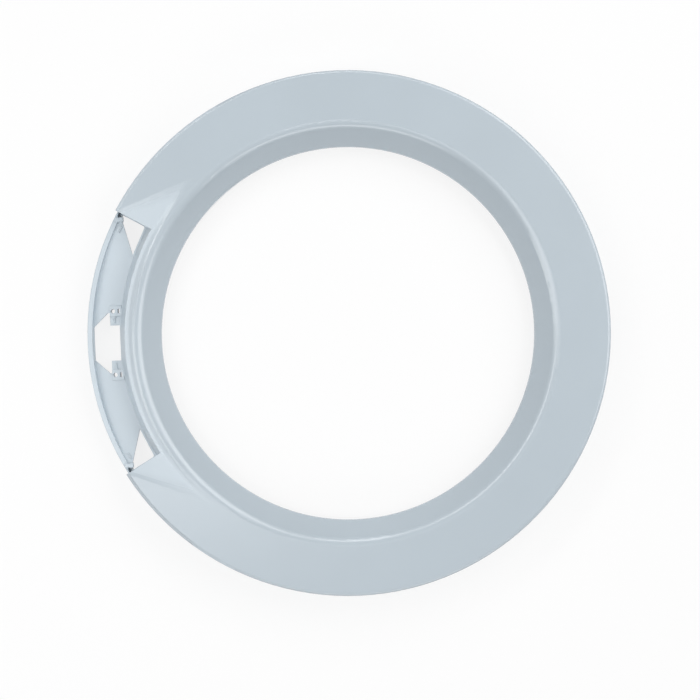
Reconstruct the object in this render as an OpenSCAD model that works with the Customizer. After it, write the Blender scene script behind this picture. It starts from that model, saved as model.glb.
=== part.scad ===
// Outer door frame of a front-loading washing machine: one injection-moulded shell,
// open at the back, with the recess for a crescent-shaped pull handle at its left.
// The ring lies on its back rim, its axis is Z and the recess points along -X.
// All lengths are in millimetres and all angles in degrees.

/* [Ring] */
// Diameter of the door opening at the lip
opening_d = 316; // [310:1:322]
// Width of the ring, from the lip to the outside
ring_w = 62; // [58:0.5:66]
// Height from the back rim to the front face
frame_h = 36; // [34:0.5:40]
// Wall thickness of the moulded shell
wall = 2.5; // [2:0.1:3]
// Amount by which the skirt narrows between the rail's height and the face
skirt_draft = 0.3; // [0.1:0.05:0.6]
// Radius of the rounded outside edge of the face
edge_r = 3; // [2:0.25:4]
// Depth of the rebate inside the back rim, where the inner frame seats
rim_rebate = 1.1; // [0.8:0.1:1.4]
// Height of the rebate inside the back rim
rim_rebate_h = 3; // [2:0.25:5]

/* [Cone and lip] */
// Width of cone and crest, from the lip to the flat face
cone_w = 20.3; // [19:0.1:22]
// Radius of the rounded crest between face and cone
crest_r = 9; // [7:0.5:10]
// Slope of the cone against the face
cone_angle = 52; // [49:1:55]
// Height of the straight lip under the cone
lip_h = 4; // [3:0.5:6]
// Radius of the soft edge between cone and lip
lip_edge_r = 1; // [0.5:0.1:2]

/* [Handle recess] */
// Half of the angle that the recess takes, seen from the ring's axis
recess_half_angle = 30.2; // [28.5:0.1:31.5]
// Width of the land between the crest and the recess's inner wall
recess_land = 8.7; // [7.5:0.1:10]
// Lean of the recess's inner wall from upright
recess_lean = 20; // [15:1:23]
// Height of the rail's top above the back rim
rail_h = 19; // [18:0.25:21]
// Thickness of the rail
rail_t = 4; // [3.5:0.1:4.8]
// Height of the thickened band of the rail
rail_band_h = 10; // [8:0.5:12]
// Depth of the floor below the rail's top, in the middle of the recess
floor_drop = 6; // [5.5:0.25:7]
// Thickness of the floor
floor_t = 2.2; // [1.8:0.1:2.8]
// Radius of the shallow dish of the floor
floor_dish_r = 1200; // [1100:10:1800]

// Angle that each three-cornered opening of the floor takes along the inner wall
end_opening_angle = 7.9; // [6.5:0.1:9]
// Angle that it takes along the rail
end_tip_angle = 0.7; // [0.5:0.1:1.2]
// Radius of its rounded corner between inner wall and end wall
end_opening_r = 1.7; // [1.2:0.1:2.2]

/* [Finger scoop] */
// Depth of the scoop in the middle of the recess's inner wall
scoop_depth = 5.5; // [4:0.25:6.5]
// Fall of the scoop for each millimetre away from the crest
scoop_fall = 0.1; // [0.04:0.01:0.14]
// Half of the angle that the scoop takes along the crest
scoop_half_angle = 52.6; // [50:0.2:56]
// Width of the flank between the crest and the scoop
flank_w = 6; // [5:0.25:7]
// Rise of the flank at its start, as a share of its mean slope
flank_start = 0.5; // [0.3:0.05:0.8]

/* [Latch window] */
// Length of the window's outer edge along the rail
window_outer_w = 27.6; // [24:0.2:31]
// Length of the window at the two brackets
window_bracket_w = 51.2; // [49:0.2:53]
// Distance between the two tabs at the window's inner edge
tab_gap = 29.8; // [27:0.2:33]
// Reach of each tab from the inner wall into the window
tab_w = 8; // [7:0.2:9]
// Radius of the screw hole in each bracket
bracket_hole_r = 1.85; // [1.5:0.05:2.1]
// Distance between the two screw holes
bracket_pitch = 54; // [52:0.2:56]
// Length of a bracket block across the recess
bracket_l = 10.2; // [9.4:0.1:11]
// Width of a bracket block along the recess
bracket_w = 9; // [8:0.1:9.6]
// Distance from a screw hole's centre to its block's outer side
bracket_edge = 2.7; // [2.6:0.05:3.2]
// Rise of a bracket block above the floor
bracket_rise = 1; // [0.6:0.1:1.6]
// Depth of a bracket block below the floor
bracket_drop = 4; // [3:0.25:5]
// Width of the slot beside each screw hole
slot_w = 1.7; // [1.3:0.1:1.9]
// Length of the slot beside each screw hole
slot_l = 3.8; // [3:0.1:5]
// Distance from the slot's middle to the block's side towards the inner wall
slot_edge = 2.6; // [2.2:0.1:3]
// Slant of the window's outer corners, from the brackets towards the rail
window_slant = 1.7; // [1:0.1:2.5]
// Thickness of the small ribs on the tabs and on the floor
mark_t = 1; // [0.8:0.1:1.2]
// Height of the small ribs on the tabs and on the floor
mark_h = 0.8; // [0.5:0.1:1.2]

/* [Handle pivots] */
// Radius of the bore for the handle's pivot pin
pivot_r = 1.6; // [1.2:0.05:1.7]
// Distance of the pivot line from the frame's outside, at the end of the recess
pivot_inset = 1.56; // [1.2:0.02:2.2]
// Height of the pivot line above the rail's top
pivot_rise = 0.4; // [0.2:0.1:0.8]
// Thickness of each pivot lug along the pivot line
lug_t = 3.6; // [3:0.1:4]
// Width of each pivot lug across the pivot line
lug_w = 7; // [6.4:0.1:7.6]
// Wall of each pivot lug over its bore
lug_wall = 1.6; // [1.2:0.1:2]
// Space between each lug and the end of the recess, on the pivot line
lug_gap = 4.4; // [3.8:0.1:5]
// Width of the slot between lug and recess end
lug_slot_w = 2.8; // [2.2:0.1:3.2]
// Depth of the slot between lug and recess end
lug_slot_h = 7; // [5:0.5:8]
// Length of the low rib that stands by the rail beside each lug
stop_rib_l = 6; // [4:0.5:7]
// Distance of that rib from the rail
stop_rib_gap = 4; // [3.5:0.1:4.5]

/* [Back of the shell] */
// Number of screw bosses
boss_count = 8; // [4:4:8]
// Distance of the screw bosses' circle outside the crest
boss_offset = 1.7; // [0.5:0.1:2.5]
// Outside diameter of each screw boss
boss_d = 8.4; // [7:0.1:9]
// Diameter of the pilot hole in each boss
pilot_d = 3.2; // [2.6:0.1:4]
// Depth of the pilot hole
pilot_depth = 14; // [10:0.5:16]
// Height of the bosses' ends above the back rim
boss_foot = 8; // [6:0.5:9]
// Number of radial ribs under the face
rib_count = 16; // [8:8:24]
// Thickness of each radial rib
rib_t = 1.6; // [1.2:0.1:2]
// Height of each radial rib under the face
rib_h = 9; // [6:0.5:11]
// Width of the hinge notch in the back rim
hinge_w = 70; // [50:1:90]
// Height of the hinge notch
hinge_h = 12; // [8:0.5:15]

/* [Hidden] */
ring_fn = 240;
small_fn = 48;
fillet_fn = 96;
dish_fn = 1440;
// Overlap that carries a cut past the face it opens
past = 1;
// Narrow ledge left between the floor's cut-outs and the recess's walls
ledge = 0.6;
// Step along the rounded corner of an end opening, as a share of its turn
turn_step = 1 / 6;

opening_r = opening_d / 2;
outer_r = opening_r + ring_w;
skirt_r = outer_r - wall;
crest_out_r = opening_r + cone_w;
boss_circle_r = crest_out_r + boss_offset;
face_under = frame_h - wall;
inner_edge_r = max(edge_r - wall, skirt_draft);

// Foot of the cone, from the crest's tangent point down the slope
cone_top_r = crest_out_r - crest_r * sin(cone_angle);
cone_foot_z = frame_h - crest_r * (1 - cos(cone_angle)) - (cone_top_r - opening_r) * tan(cone_angle);
// Sharp corner that the crest's radius rounds off
crest_corner_r = crest_out_r - crest_r * tan(cone_angle / 2);
lip_z = cone_foot_z - lip_h;
// The cone's back, one wall away
back_corner_r = crest_corner_r + wall * tan(cone_angle / 2);
lip_back_r = opening_r + wall;
back_foot_z = face_under - (back_corner_r - lip_back_r) * tan(cone_angle);

// Recess
recess_top_r = crest_out_r + recess_land;
recess_top_z = frame_h - scoop_depth;
function recess_r(z) = recess_top_r + (recess_top_z - z) * tan(recess_lean);
rail_in_r = outer_r - rail_t;
floor_z = rail_h - floor_drop;
floor_under_z = floor_z - floor_t;
function floor_at(y) = floor_z + y * y / (2 * floor_dish_r);
recess_foot_r = recess_r(floor_z);
lean_wall = wall / cos(recess_lean);
end_wall_angle = asin(wall / rail_in_r);

// Crease between scoop and face: a straight line from the recess's outer corner
// (corner) to the crest (crease_end), given as its distance from the middle plane
corner_r = outer_r - edge_r / 2;
corner = [corner_r * cos(recess_half_angle), corner_r * sin(recess_half_angle)];
crease_end = crest_out_r * [cos(scoop_half_angle), sin(scoop_half_angle)];
crease_slope = (crease_end[1] - corner[1]) / (corner[0] - crease_end[0]);
function crease_y(x) = corner[1] + (corner[0] - x) * crease_slope;

// Depth of the scoop at radius r and angle a from its middle: it falls from the crest
// over a flank with a hollow foot, and fades out towards the two creases
function flank(t) =
    t < 0 ? flank_start * t :
    t > 1 ? 1 : flank_start * t + (3 - 2 * flank_start) * t * t + (flank_start - 2) * t * t * t;
function scoop_fade(r, a) = 1 - pow(r * sin(a) / crease_y(r * cos(a)), 2);
function scoop_at(r, a) =
    flank((r - scoop_start_r) / flank_w)
    * (scoop_depth + scoop_fall * (r - recess_top_r)) * scoop_fade(r, a);
scoop_start_r = crest_out_r + ledge;
scoop_flank_steps = 5;
scoop_out_steps = 5;
scoop_columns = 40;
scoop_out_r = outer_r + 2 * past;
// The block's sides stand a little past the creases
scoop_side_angle = scoop_half_angle + 2;
scoop_rows = [
    scoop_start_r - past,
    for (i = [1:scoop_flank_steps]) scoop_start_r + flank_w * i / scoop_flank_steps,
    for (i = [1:scoop_out_steps])
        scoop_start_r + flank_w + (scoop_out_r - scoop_start_r - flank_w) * i / scoop_out_steps
];

// Latch window and brackets
window_out_x = rail_in_r * cos(asin(window_outer_w / 2 / rail_in_r)) - ledge / 2;
window_in_x = recess_foot_r - ledge / 2;
tab_x = window_in_x + tab_w;
bracket_x = tab_x - bracket_edge;
bracket_out_x = tab_x;
window_corner_x = bracket_out_x + window_slant;

// Pivot lugs
pivot_x = (outer_r - pivot_inset) * cos(recess_half_angle);
end_y = pivot_x * tan(recess_half_angle);
lug_out_y = end_y - lug_gap;
lug_in_y = lug_out_y - lug_t;
pivot_z = rail_h + pivot_rise;
lug_top_z = pivot_z + pivot_r + lug_wall;

function unit(v) = v / norm(v);

// Two tangent points and the centre of a fillet of radius r at corner q
function fillet(p, q, s, r) =
    let (u = unit(p - q), v = unit(s - q), half = acos(u * v) / 2)
    [q + u * r / tan(half), q + v * r / tan(half), q + unit(u + v) * r / sin(half)];

// Convex outline whose corners are rounded by true arcs
module rounded_outline(points, radii) {
    n = len(points);
    corners = [
        for (i = [0:n - 1]) fillet(points[(i + n - 1) % n], points[i], points[(i + 1) % n], radii[i])
    ];
    polygon([for (i = [0:n - 1]) each radii[i] > 0 ? [corners[i][0], corners[i][1]] : [points[i]]]);
    for (i = [0:n - 1])
        if (radii[i] > 0) translate(corners[i][2]) circle(r = radii[i], $fn = fillet_fn);
}

// Both halves of what is the same above and below the middle of the recess
module both_sides() {
    children();
    mirror([0, 1, 0]) children();
}

// Turns an outline about the ring's axis through the recess's angle, and through extra
// more at each end
module recess_sweep(extra = 0) {
    half_angle = recess_half_angle + extra;
    rotate([0, 0, 180 - half_angle]) rotate_extrude(angle = 2 * half_angle, $fn = ring_fn) children();
}

// Outside of the shell, filled down to the back rim
module ring_outside() {
    inner_r = lip_back_r + past;
    rotate_extrude($fn = ring_fn)
        rounded_outline(
            [
                [opening_r, lip_z], [inner_r, lip_z], [inner_r, 0], [outer_r, 0],
                [outer_r, rail_h], [outer_r - skirt_draft, frame_h],
                [crest_corner_r, frame_h], [opening_r, cone_foot_z]
            ],
            [0, 0, 0, 0, 0, edge_r, crest_r, lip_edge_r]
        );
}

// Hollow of the shell, open at the back, with the rebate inside the rim
module ring_hollow() {
    rotate_extrude($fn = ring_fn) {
        rounded_outline(
            [
                [lip_back_r, -past], [skirt_r, -past], [skirt_r, rail_h],
                [skirt_r - skirt_draft, face_under],
                [back_corner_r, face_under], [lip_back_r, back_foot_z]
            ],
            [0, 0, 0, inner_edge_r, crest_r - wall, 0]
        );
        translate([skirt_r - past, -past]) square([past + rim_rebate, past + rim_rebate_h]);
    }
}

// Everything above the scoop's surface, as one lofted block between its rows of points
module scoop_block() {
    rows = len(scoop_rows);
    columns = scoop_columns + 1;
    angles = [for (j = [0:scoop_columns]) (2 * j / scoop_columns - 1) * scoop_side_angle];
    heights = [for (r = scoop_rows) [for (a = angles) frame_h - scoop_at(r, a)]];
    lid = max([for (row = heights) max(row)]) + past;
    surface = [
        for (i = [0:rows - 1]) for (j = [0:scoop_columns])
            [-scoop_rows[i] * cos(angles[j]), scoop_rows[i] * sin(angles[j]), heights[i][j]]
    ];
    cover = [for (p = surface) [p[0], p[1], lid]];
    top = rows * columns;
    function at(i, j) = i * columns + j;
    polyhedron(
        points = concat(surface, cover),
        faces = concat(
            [for (i = [0:rows - 2]) for (j = [0:scoop_columns - 1]) each [
                [at(i, j), at(i, j + 1), at(i + 1, j + 1)],
                [at(i, j), at(i + 1, j + 1), at(i + 1, j)]
            ]],
            [for (i = [0:rows - 2]) for (j = [0:scoop_columns - 1])
                [top + at(i, j), top + at(i + 1, j), top + at(i + 1, j + 1), top + at(i, j + 1)]],
            [for (i = [0:rows - 2]) each [
                [at(i, 0), at(i + 1, 0), top + at(i + 1, 0), top + at(i, 0)],
                [at(i + 1, scoop_columns), at(i, scoop_columns),
                 top + at(i, scoop_columns), top + at(i + 1, scoop_columns)]
            ]],
            [for (j = [0:scoop_columns - 1]) each [
                [at(0, j + 1), at(0, j), top + at(0, j), top + at(0, j + 1)],
                [at(rows - 1, j), at(rows - 1, j + 1), top + at(rows - 1, j + 1), top + at(rows - 1, j)]
            ]]
        ),
        convexity = 6
    );
}

// Inside of the floor's dish: a long drum that lies along X
module dish_drum(r) {
    translate([-outer_r - past, 0, floor_z + floor_dish_r])
        rotate([0, 90, 0]) cylinder(h = outer_r, r = r, $fn = dish_fn);
}

// Space of the recess above its floor and its rail
module recess_space() {
    top_z = frame_h + past;
    intersection() {
        recess_sweep()
            polygon([
                [recess_r(floor_under_z), floor_under_z], [rail_in_r, floor_under_z],
                [rail_in_r, rail_h], [outer_r + past, rail_h],
                [outer_r + past, top_z], [recess_r(top_z), top_z]
            ]);
        dish_drum(floor_dish_r);
    }
}

// Solid that the recess is sunk into: what the recess's space leaves of it is the
// leaning inner wall, the two end walls and the dished floor
module recess_jacket() {
    foot_z = floor_under_z - past;
    intersection() {
        recess_sweep(end_wall_angle)
            polygon([
                [recess_r(foot_z) - lean_wall, foot_z], [skirt_r + wall / 2, foot_z],
                [skirt_r + wall / 2, frame_h], [recess_r(frame_h) - lean_wall, frame_h]
            ]);
        dish_drum(floor_dish_r + floor_t);
    }
}

// Thickened band of the skirt along the recess, which the recess's space trims to the rail
module rail_band() {
    recess_sweep(end_wall_angle / 2)
        translate([rail_in_r - ledge, rail_h - rail_band_h])
            square([skirt_r + wall / 4 - rail_in_r + ledge, rail_band_h + ledge]);
}

// Block round a bracket's screw hole, from below the floor to a little above it
module bracket_block() {
    y = bracket_pitch / 2;
    translate([-bracket_out_x, y - bracket_w / 2, floor_under_z - bracket_drop])
        cube([bracket_l, bracket_w, floor_at(y) + bracket_rise - floor_under_z + bracket_drop]);
}

// Small T-shaped rib on the tab beside a bracket
module tab_mark() {
    x = bracket_x - mark_t;
    start_y = tab_gap / 2 + 2 * mark_t;
    end_y = bracket_pitch / 2 - bracket_w / 2;
    height = floor_at(end_y) - floor_z + mark_h;
    bar = 3 * mark_t;
    translate([-x - mark_t / 2, start_y, floor_z]) cube([mark_t, end_y - start_y, height]);
    translate([-x - bar / 2, end_y - mark_t, floor_z]) cube([bar, 2 * mark_t, height]);
}

// Lug that carries one end of the handle's pivot pin
module pivot_lug() {
    translate([-pivot_x - lug_w / 2, lug_in_y, floor_under_z])
        cube([lug_w, lug_t, lug_top_z - floor_under_z]);
}

// Low rib that stands by the rail beside the pivot lug
module stop_rib() {
    r = rail_in_r - stop_rib_gap;
    end_y = lug_in_y - stop_rib_l;
    rotate([0, 0, 180 - asin(end_y / r)])
        translate([r - mark_t, -stop_rib_l / 2, floor_z])
            cube([mark_t, stop_rib_l, floor_at(end_y) - floor_z + mark_h]);
}

// Raised details that stand in the recess's space
module recess_fittings() {
    both_sides() {
        bracket_block();
        tab_mark();
        pivot_lug();
        stop_rib();
    }
}

// Outline of the latch window between rail, brackets and tabs
module latch_window() {
    outer_y = window_outer_w / 2;
    bracket_y = window_bracket_w / 2;
    tab_y = tab_gap / 2;
    polygon([
        [-window_out_x, outer_y], [-window_corner_x, bracket_y], [-tab_x, bracket_y],
        [-tab_x, tab_y], [-window_in_x, tab_y],
        [-window_in_x, -tab_y], [-tab_x, -tab_y],
        [-tab_x, -bracket_y], [-window_corner_x, -bracket_y], [-window_out_x, -outer_y]
    ]);
}

// Outline of the three-cornered opening at one end of the floor, rounded at the
// corner between the end wall and the inner wall
module end_opening() {
    apex_angle = recess_half_angle - end_opening_angle;
    apex = (recess_foot_r + ledge) * [cos(apex_angle), sin(apex_angle)];
    tip_r = rail_in_r - ledge / 2;
    tip_angle = recess_half_angle - end_tip_angle;
    tip = tip_r * [cos(tip_angle), sin(tip_angle)];
    end_angle = recess_half_angle - asin(ledge / rail_in_r);
    end_tip = tip_r * [cos(end_angle), sin(end_angle)];
    root = (recess_foot_r + ledge) * [cos(end_angle), sin(end_angle)];
    f = fillet(end_tip, root, apex, end_opening_r);
    u = unit(f[0] - f[2]);
    v = unit(f[1] - f[2]);
    turn = [for (share = [0:turn_step:1]) f[2] + end_opening_r * unit(u * (1 - share) + v * share)];
    polygon([for (p = concat([apex, tip, end_tip], turn)) [-p[0], p[1]]]);
}

// Cut-outs that go right through the floor
module floor_cuts() {
    bottom = floor_under_z - bracket_drop - past;
    translate([0, 0, bottom]) {
        linear_extrude(rail_h - past - bottom) latch_window();
        both_sides() {
            linear_extrude(rail_h - past / 2 - bottom) end_opening();
            translate([-bracket_x, bracket_pitch / 2, 0]) {
                cylinder(h = rail_h - bottom, r = bracket_hole_r, $fn = small_fn);
                translate([bracket_l - bracket_edge - slot_edge - slot_w / 2, -slot_l / 2, 0])
                    cube([slot_w, slot_l, rail_h - bottom]);
            }
        }
    }
}

// Bore for the pivot pin, and the slot that frees the pin's end behind the lug
module pivot_cuts() {
    translate([-pivot_x, lug_in_y - past, pivot_z])
        rotate([-90, 0, 0]) cylinder(h = lug_t + 2 * past, r = pivot_r, $fn = small_fn);
    intersection() {
        translate([-pivot_x - lug_slot_w / 2, lug_out_y, rail_h - lug_slot_h])
            cube([lug_slot_w, 3 * lug_gap, lug_slot_h + past]);
        recess_sweep() translate([recess_foot_r, 0]) square([outer_r - recess_foot_r - wall / 2, frame_h]);
    }
}

// Screw bosses between the cone and the recess, down to the inner frame
module screw_bosses() {
    for (i = [0:boss_count - 1])
        rotate([0, 0, (i + 0.5) * 360 / boss_count])
            translate([boss_circle_r, 0, boss_foot]) cylinder(h = frame_h - boss_foot, d = boss_d, $fn = small_fn);
}

module pilot_holes() {
    for (i = [0:boss_count - 1])
        rotate([0, 0, (i + 0.5) * 360 / boss_count])
            translate([boss_circle_r, 0, boss_foot - past])
                cylinder(h = pilot_depth + past, d = pilot_d, $fn = small_fn);
}

// Low radial ribs under the face
module face_ribs() {
    for (i = [0:rib_count - 1])
        rotate([0, 0, (i + 0.5) * 360 / rib_count])
            translate([opening_r, -rib_t / 2, face_under - rib_h])
                cube([outer_r - opening_r - wall / 2, rib_t, rib_h + wall / 2]);
}

// Notch in the back rim where the hinge's arm comes through
module hinge_notch() {
    translate([outer_r - 2 * wall, -hinge_w / 2, -past]) cube([3 * wall, hinge_w, hinge_h + past]);
}

module door_frame() {
    color([0.75, 0.79, 0.82]) difference() {
        ring_outside();
        scoop_block();
        difference() {
            ring_hollow();
            translate([0, 0, -wall]) scoop_block();
            recess_jacket();
            both_sides() {
                bracket_block();
                pivot_lug();
            }
            rail_band();
            screw_bosses();
            face_ribs();
        }
        difference() {
            recess_space();
            recess_fittings();
        }
        floor_cuts();
        both_sides() pivot_cuts();
        pilot_holes();
        hinge_notch();
    }
}

door_frame();
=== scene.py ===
import bpy
import math
from mathutils import Matrix, Vector

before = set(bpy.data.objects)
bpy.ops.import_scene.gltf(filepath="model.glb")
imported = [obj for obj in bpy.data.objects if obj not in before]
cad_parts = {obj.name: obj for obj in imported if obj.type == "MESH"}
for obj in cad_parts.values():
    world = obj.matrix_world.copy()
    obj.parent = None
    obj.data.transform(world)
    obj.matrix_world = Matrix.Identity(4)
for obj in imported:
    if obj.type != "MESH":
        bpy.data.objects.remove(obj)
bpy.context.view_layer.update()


# Moulded shell. One injection-moulded piece of glossy light bluish-grey plastic, with
# eased edges, a faint orange peel on the polished faces, a satin grain in the handle
# recess, where fingers reach, and a dull skin on the back.
def moulded_skin():
    group = bpy.data.node_groups.new("moulded_skin", "ShaderNodeTree")
    n, link = group.nodes, group.links
    out = n.new("NodeGroupOutput")
    place = n.new("ShaderNodeTexCoord")
    for name, scale, detail in (("Grain", 900, 3), ("Orange Peel", 240, 1), ("Flow", 14, 4)):
        group.interface.new_socket(name, in_out="OUTPUT", socket_type="NodeSocketFloat")
        noise = n.new("ShaderNodeTexNoise")
        noise.inputs["Scale"].default_value = scale
        noise.inputs["Detail"].default_value = detail
        link.new(place.outputs["Object"], noise.inputs["Vector"])
        link.new(noise.outputs["Fac"], out.inputs[name])
    return group


def shell_plastic(skin):
    material = bpy.data.materials.new("shell_plastic")
    material.use_nodes = True
    n, link = material.node_tree.nodes, material.node_tree.links
    plastic = n["Principled BSDF"]
    plastic.inputs["IOR"].default_value = 1.8
    place = n.new("ShaderNodeTexCoord")
    surface = n.new("ShaderNodeGroup")
    surface.node_tree = skin

    def calculate(operation, a, b):
        node = n.new("ShaderNodeMath")
        node.operation = operation
        for socket, value in zip(node.inputs, (a, b)):
            if isinstance(value, (int, float)):
                socket.default_value = value
            else:
                link.new(value, socket)
        return node.outputs["Value"]

    def fade(value, low, high, start=0, end=1):
        node = n.new("ShaderNodeMapRange")
        node.interpolation_type = "SMOOTHSTEP"
        node.inputs["From Min"].default_value = low
        node.inputs["From Max"].default_value = high
        node.inputs["To Min"].default_value = start
        node.inputs["To Max"].default_value = end
        link.new(value, node.inputs["Value"])
        return node.outputs["Result"]

    def split(vector):
        node = n.new("ShaderNodeSeparateXYZ")
        link.new(vector, node.inputs["Vector"])
        return node.outputs

    relief = 0.00002

    def bump(height, strength, normal):
        node = n.new("ShaderNodeBump")
        node.inputs["Distance"].default_value = relief
        node.inputs["Strength"].default_value = strength
        link.new(normal, node.inputs["Normal"])
        link.new(height, node.inputs["Height"])
        return node.outputs["Normal"]

    # 1 in the handle recess and its scoop, 0 on the polished faces: it lies at the left
    # (minus x), between the crest and the outer skirt, and below the flat face
    crest, skirt = (0.1785, 0.1800), (0.2194, 0.2199)
    face_z, right_end = (0.0350, 0.03595), (-0.104, -0.100)
    x, y, z = split(place.outputs["Object"])
    squares = calculate("ADD", calculate("MULTIPLY", x, x), calculate("MULTIPLY", y, y))
    radius = calculate("SQRT", squares, 0)
    ring = calculate("MULTIPLY", fade(radius, *crest), fade(radius, *skirt, 1, 0))
    below = calculate("MULTIPLY", fade(z, *face_z, 1, 0), fade(x, *right_end, 1, 0))
    recess = calculate("MULTIPLY", ring, below)

    # 1 on what faces backwards
    facing_back = (-0.5, -0.1)
    back = fade(split(place.outputs["Normal"])["Z"], *facing_back, 1, 0)

    # Colour, with painted light in the recess: a lighter colour there offsets the shade
    # falling in the hollow and stands in for the softboxes' bright reflection, though the
    # plastic is one colour; with the faint clouds of the moulding's flow
    face_colour, recess_painted_light_colour = (0.436, 0.502, 0.553, 1), (0.505, 0.575, 0.628, 1)
    flow, flow_range, flow_shade = surface.outputs["Flow"], (0.2, 0.8), (0.985, 1.012)
    colour = n.new("ShaderNodeMix")
    colour.data_type = "RGBA"
    colour.inputs["A"].default_value = face_colour
    colour.inputs["B"].default_value = recess_painted_light_colour
    link.new(recess, colour.inputs["Factor"])
    grey = n.new("ShaderNodeCombineColor")
    shade = fade(flow, *flow_range, *flow_shade)
    for channel in grey.inputs:
        link.new(shade, channel)
    tint = n.new("ShaderNodeMix")
    tint.data_type = "RGBA"
    tint.blend_type = "MULTIPLY"
    tint.inputs["Factor"].default_value = 1
    link.new(colour.outputs["Result"], tint.inputs["A"])
    link.new(grey.outputs["Color"], tint.inputs["B"])
    link.new(tint.outputs["Result"], plastic.inputs["Base Color"])

    # Gloss: polished faces, satin recess, dull back
    polished, satin, duller_back, flow_change = 0.23, 0.38, 0.22, 0.02
    front_gloss = fade(recess, 0, 1, polished, satin)
    gloss = calculate("ADD", front_gloss, fade(back, 0, 1, 0, duller_back))
    change = fade(flow, *flow_range, -flow_change, flow_change)
    link.new(calculate("ADD", gloss, change), plastic.inputs["Roughness"])

    # Eased edges, then the peel, then the grain, which is a quarter as strong on the faces
    edge_radius, peel_strength, grain_strength, face_share = 0.0005, 0.2, 0.3, 0.25
    eased = n.new("ShaderNodeBevel")
    eased.samples = 6
    eased.inputs["Radius"].default_value = edge_radius
    peel = bump(surface.outputs["Orange Peel"], peel_strength, eased.outputs["Normal"])
    grain_share = calculate("ADD", fade(recess, 0, 1, face_share, 1), back)
    grain = calculate("MULTIPLY", surface.outputs["Grain"], grain_share)
    link.new(bump(grain, grain_strength, peel), plastic.inputs["Normal"])
    return material


bpy.ops.object.select_all(action="DESELECT")
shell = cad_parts["door_frame"]
shell.data.materials.clear()
shell.data.materials.append(shell_plastic(moulded_skin()))


# Floor. A plain white studio floor, on which the frame lies on its back rim. It looks
# white to the camera and in reflections, and keeps the frame's soft shadow.
def studio_white(tree, lit, white, share):
    n, link = tree.nodes, tree.links
    path = n.new("ShaderNodeLightPath")
    seen = path.outputs["Is Camera Ray"]
    for ray in ("Is Glossy Ray", "Is Transmission Ray"):
        add = n.new("ShaderNodeMath")
        add.operation = "MAXIMUM"
        link.new(seen, add.inputs[0])
        link.new(path.outputs[ray], add.inputs[1])
        seen = add.outputs["Value"]
    amount = n.new("ShaderNodeMath")
    amount.operation = "MULTIPLY"
    amount.inputs[1].default_value = share
    link.new(seen, amount.inputs[0])
    mix = n.new("ShaderNodeMixShader")
    link.new(amount.outputs["Value"], mix.inputs["Fac"])
    link.new(lit, mix.inputs[1])
    link.new(white, mix.inputs[2])
    return mix.outputs["Shader"]


floor_size, white_share = 40, 0.84
bpy.ops.mesh.primitive_plane_add(size=floor_size, location=(0, 0, 0))
floor = bpy.context.object
floor.name = "studio_floor"
paper = bpy.data.materials.new("white_floor")
paper.use_nodes = True
nodes, links = paper.node_tree.nodes, paper.node_tree.links
matt = nodes["Principled BSDF"]
matt.inputs["Base Color"].default_value = (0.94, 0.94, 0.94, 1)
matt.inputs["Roughness"].default_value = 0.9
glow = nodes.new("ShaderNodeEmission")
glow.inputs["Color"].default_value = (0.985, 0.985, 0.985, 1)
pale = studio_white(
    paper.node_tree, matt.outputs["BSDF"], glow.outputs["Emission"], white_share)
links.new(pale, nodes["Material Output"].inputs["Surface"])
floor.data.materials.append(paper)


# Camera. It looks square on to the face from 1.3 m, as the photograph was taken, turned
# by 2.4 degrees, with the ring's middle a little above the middle of the picture.
turn = math.radians(2.4)
right = Vector((math.cos(turn), -math.sin(turn), 0))
up = Vector((math.sin(turn), math.cos(turn), 0))
face_height, distance_to_face = 0.036, 1.3
aside_of_axis, below_axis = 0.0017, 0.0142
over_floor = Vector((0, 0, face_height + distance_to_face))
spot = aside_of_axis * right - below_axis * up + over_floor
camera_data = bpy.data.cameras.new("camera")
camera_data.sensor_width = 36
camera_data.lens = 80.2
camera = bpy.data.objects.new("camera", camera_data)
bpy.context.scene.collection.objects.link(camera)
camera.matrix_world = (
    Matrix.Translation(spot) @ Matrix((right, up, (0, 0, 1))).transposed().to_4x4())
bpy.context.scene.camera = camera
bpy.context.scene.view_settings.view_transform = "Standard"


# Studio light. Large softboxes at the right and the left, smaller ones at the top, the
# upper left and almost overhead, and a fill at the bottom, in a white room. Azimuth and
# height are degrees, the azimuth as in the picture; aside moves a lamp up the picture.
def softbox(name, azimuth, height, distance, size, brightness, aside=0):
    light = bpy.data.lights.new(name, "AREA")
    light.shape = "RECTANGLE"
    light.size, light.size_y = size
    light.energy = math.pi * size[0] * size[1] * brightness
    lamp = bpy.data.objects.new(name, light)
    bpy.context.scene.collection.objects.link(lamp)
    a, e = math.radians(azimuth) - turn, math.radians(height)
    lamp.location = distance * Vector((
        math.cos(a) * math.cos(e), math.sin(a) * math.cos(e), math.sin(e)))
    lamp.rotation_euler = (-Vector(lamp.location)).to_track_quat("-Z", "Y").to_euler()
    lamp.location += aside * up
    lamp.visible_camera = False


softbox("softbox_right", 27, 45, 1.9, (2.4, 1.5), 2.4)
softbox("softbox_top", 93, 36, 2.0, (0.7, 0.5), 4.3)
softbox("softbox_upper_left", 143, 46, 1.9, (1.5, 0.36), 4.0)
softbox("softbox_left", 180, 42, 1.25, (0.5, 1.6), 2.4, aside=-0.21)
softbox("softbox_above_left", 180, 82, 1.47, (0.3, 0.3), 2.3, aside=-0.16)
softbox("fill_bottom", 275, 32, 2.0, (2.2, 0.7), 2.1)

world = bpy.data.worlds.new("studio_room")
bpy.context.scene.world = world
world.use_nodes = True
nodes, links = world.node_tree.nodes, world.node_tree.links
room = nodes["Background"]
room.inputs["Color"].default_value = (1, 1, 1, 1)
room.inputs["Strength"].default_value = 0.14
backdrop = nodes.new("ShaderNodeBackground")
backdrop.inputs["Color"].default_value = (1, 1, 1, 1)
walls = studio_white(
    world.node_tree, room.outputs["Background"], backdrop.outputs["Background"], 1)
links.new(walls, nodes["World Output"].inputs["Surface"])
